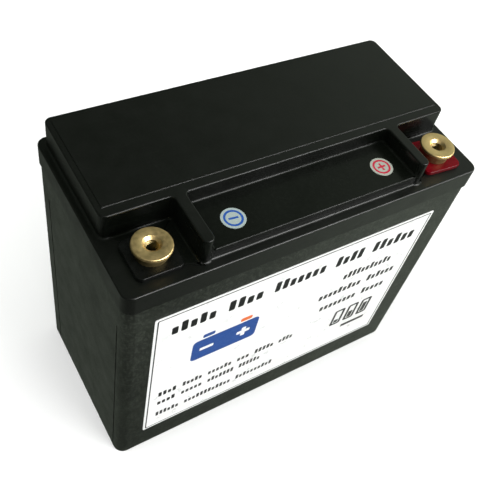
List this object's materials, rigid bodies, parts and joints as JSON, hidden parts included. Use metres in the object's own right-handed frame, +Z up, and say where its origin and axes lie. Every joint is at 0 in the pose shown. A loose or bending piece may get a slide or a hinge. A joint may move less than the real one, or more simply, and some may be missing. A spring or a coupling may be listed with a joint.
{
  "type": "motorcycle battery",
  "caption": "Sealed box-shaped lithium starter battery with a stepped lid, a recessed tray and two brass screw terminals in front corner pockets.",
  "frame": {"origin": "centre of the case's underside", "axes": "+Z up, +X along the long side towards the positive terminal, -Y out of the labelled front face"},
  "size_m": [0.175, 0.087, 0.155],
  "materials": {
    "jar": "fine moulded grain",
    "lid": "satin",
    "seal": "matt",
    "label": "printed, satin",
    "minus": "printed, satin",
    "plus": "printed, satin",
    "brass": "turned",
    "black_base": "gloss",
    "red_base": "gloss",
    "rubber": "matt",
    "steel": "plated",
    "copper": "tinned edges",
    "black_wire": "satin silicone",
    "red_wire": "satin silicone",
    "cell_wrap": "heat-shrunk film",
    "holder": "moulded",
    "nickel": "rolled",
    "insulator": "laminate",
    "foam": "open foam",
    "board": "solder mask",
    "nylon": "moulded",
    "chip": "moulded",
    "aluminium": "extruded",
    "ribbon": "satin"
  },
  "bodies": {
    "root": {"jar": "jar", "lid": "lid", "lid_seal": "seal", "front_label": "label", "minus_sticker": "minus", "plus_sticker": "plus", "negative_terminal": "brass", "positive_terminal": "brass", "negative_base": "black_base", "positive_base": "red_base", "terminal_seals": "rubber", "spring_washers": "steel", "terminal_nuts": "steel", "negative_lug": "copper", "positive_lug": "copper", "negative_lead": "black_wire", "positive_lead": "red_wire", "negative_cup": "copper", "positive_cup": "copper", "cell_1": "cell_wrap", "cell_2": "cell_wrap", "cell_3": "cell_wrap", "cell_4": "cell_wrap", "cell_5": "cell_wrap", "cell_6": "cell_wrap", "cell_7": "cell_wrap", "cell_8": "cell_wrap", "lower_holder": "holder", "upper_holder": "holder", "top_link": "nickel", "positive_tab": "nickel", "negative_tab": "nickel", "bottom_link_left": "nickel", "bottom_link_right": "nickel", "negative_link": "copper", "bottom_insulator": "insulator", "top_insulator": "insulator", "bottom_foam": "foam", "left_foam": "foam", "right_foam": "foam", "top_foam": "foam", "board": "board", "board_standoffs": "nylon", "board_screws": "steel", "power_transistors": "chip", "heat_spreader": "aluminium", "balance_socket": "nylon", "balance_plug": "nylon", "balance_ribbon": "ribbon", "temperature_sensor": "chip"}
  },
  "joints": []
}
